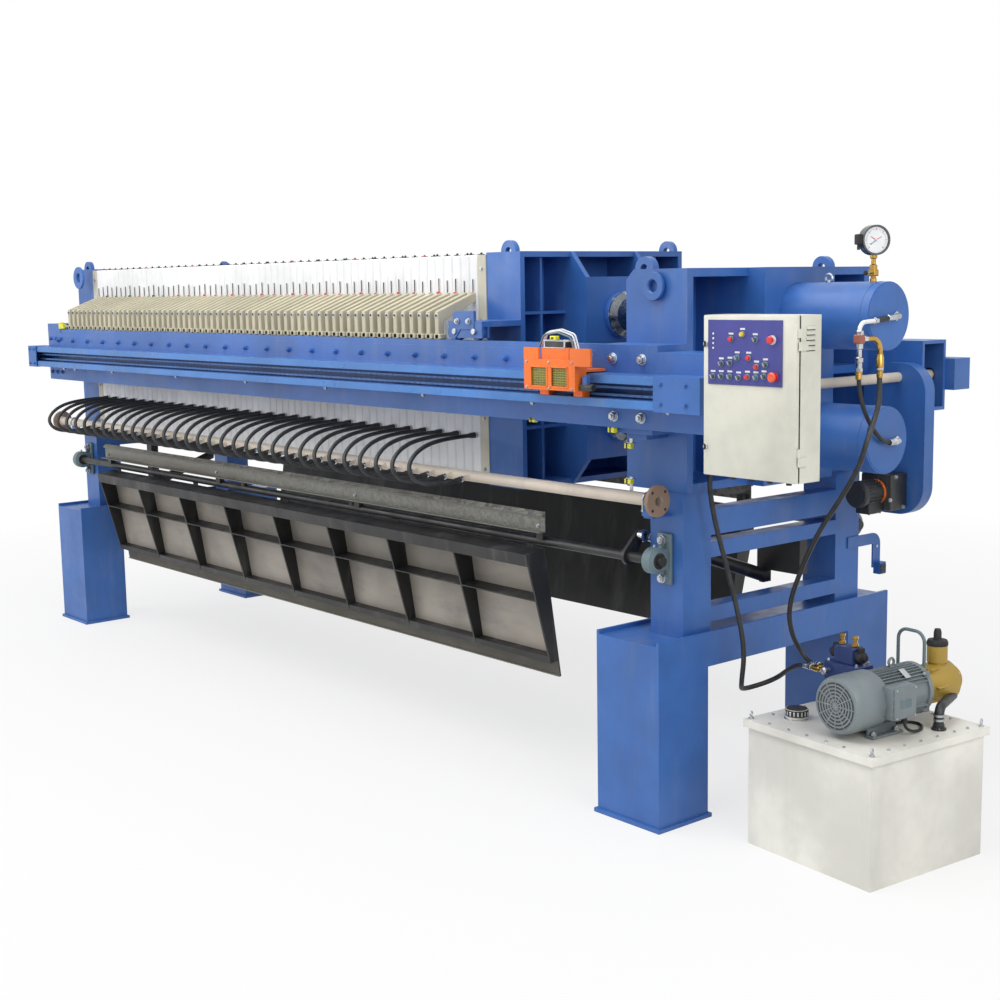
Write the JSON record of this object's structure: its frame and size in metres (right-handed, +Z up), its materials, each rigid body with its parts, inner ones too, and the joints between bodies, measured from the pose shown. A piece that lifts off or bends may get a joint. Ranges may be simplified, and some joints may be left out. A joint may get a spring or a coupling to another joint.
{
  "type": "plate filter press",
  "caption": "Membrane plate filter press: a pack of filter plates between a fixed and a moving head on two beams, with hydraulic cylinders, plate shifters, drip flaps and an oil power unit.",
  "frame": {"origin": "on the floor under the middle of the whole plant's footprint", "axes": "+X along the press from the feed end to the cylinder end, +Y from the control cabinet's side to the far side, +Z up"},
  "size_m": [7.9566, 2.3046, 2.8555],
  "materials": {
    "blue_paint": "semi-gloss",
    "plate_white": "matte",
    "facing_beige": "matte",
    "chrome": "polished",
    "chain_steel": "oiled",
    "hose_rubber": "matte",
    "galvanised": "dull",
    "flap_black": "satin",
    "bearing_grey": "satin",
    "pipe_beige": "satin",
    "guard_orange": "gloss",
    "cabinet_cream": "satin",
    "motor_grey": "satin",
    "pump_gold": "satin",
    "valve_blue": "satin",
    "drive_black": "satin"
  },
  "bodies": {
    "frame": {"feed_end_portal": "blue_paint", "cylinder_end_portal": "blue_paint", "feed_end_posts": "blue_paint", "cylinder_end_posts": "blue_paint", "fixed_head": "blue_paint", "fixed_facing": "facing_beige", "chamber_plates": "plate_white", "membrane_plates": "plate_white", "beams": "blue_paint", "shifter_tracks": "blue_paint", "chain_end_boxes": "blue_paint", "shifter_chains": "chain_steel", "cylinder_seat": "blue_paint", "upper_cylinder": "blue_paint", "lower_cylinder": "blue_paint", "squeeze_manifold": "pipe_beige", "manifold_brackets": "blue_paint", "membrane_hoses": "hose_rubber", "flap_bearings": "bearing_grey", "flap_rams": "flap_black", "drive_shaft": "pipe_beige", "chain_cover": "blue_paint", "gear_motor": "drive_black", "control_cabinet": "cabinet_cream", "cabinet_bracket": "blue_paint", "pressure_gauge": "chrome", "oil_tank": "cabinet_cream", "tank_lid": "cabinet_cream", "pump_motor": "motor_grey", "oil_pump": "pump_gold", "valve_block": "valve_blue", "cylinder_fittings": "chrome", "hydraulic_hoses": "hose_rubber", "motor_cable": "hose_rubber", "limit_switch_bracket": "blue_paint"},
    "head": {"moving_head": "blue_paint", "moving_facing": "facing_beige", "piston_rods": "chrome"},
    "near_shifter": {"near_plate_shifter": "guard_orange"},
    "far_shifter": {"far_plate_shifter": "guard_orange"},
    "near_flap_swing": {"near_flap": "flap_black", "near_flap_shaft": "flap_black", "near_gutter": "galvanised"},
    "far_flap_swing": {"far_flap": "flap_black", "far_flap_shaft": "flap_black", "far_gutter": "galvanised"},
    "near_ram": {"near_ram_rod": "chrome"},
    "far_ram": {"far_ram_rod": "chrome"},
    "door": {"cabinet_door": "cabinet_cream"}
  },
  "joints": [
    {"name": "head_slide", "type": "slide", "parent": "frame", "child": "head", "axis": [1, 0, 0], "range_m": [0, 0.65]},
    {"name": "near_shifter_travel", "type": "slide", "parent": "frame", "child": "near_shifter", "axis": [-1, 0, 0], "range_m": [0, 5.2]},
    {"name": "far_shifter_travel", "type": "slide", "parent": "frame", "child": "far_shifter", "axis": [-1, 0, 0], "range_m": [0, 5.2]},
    {"name": "near_flap_hinge", "type": "hinge", "parent": "frame", "child": "near_flap_swing", "pos_m": [-0.82528, -0.767, 1.29], "axis": [1, 0, 0], "range_deg": [-7, 67]},
    {"name": "far_flap_hinge", "type": "hinge", "parent": "frame", "child": "far_flap_swing", "pos_m": [-0.82528, 0.767, 1.29], "axis": [1, 0, 0], "range_deg": [-67, 7]},
    {"name": "near_ram_slide", "type": "slide", "parent": "frame", "child": "near_ram", "axis": [0, -0.9424, 0.3346], "range_m": [-0.05, 0.15]},
    {"name": "far_ram_slide", "type": "slide", "parent": "frame", "child": "far_ram", "axis": [0, 0.9424, 0.3346], "range_m": [-0.05, 0.15]},
    {"name": "door_hinge", "type": "hinge", "parent": "frame", "child": "door", "pos_m": [3.76572, -1.092, 2.13], "axis": [0, 0, 1], "range_deg": [0, 120]}
  ],
  "couplings": [
    {"joint": "far_shifter_travel", "follows": "near_shifter_travel", "ratio": 1},
    {"joint": "far_flap_hinge", "follows": "near_flap_hinge", "ratio": -1},
    {"joint": "near_ram_slide", "follows": "near_flap_hinge", "m_per_rad": 0.10997},
    {"joint": "far_ram_slide", "follows": "near_flap_hinge", "m_per_rad": 0.10997}
  ]
}
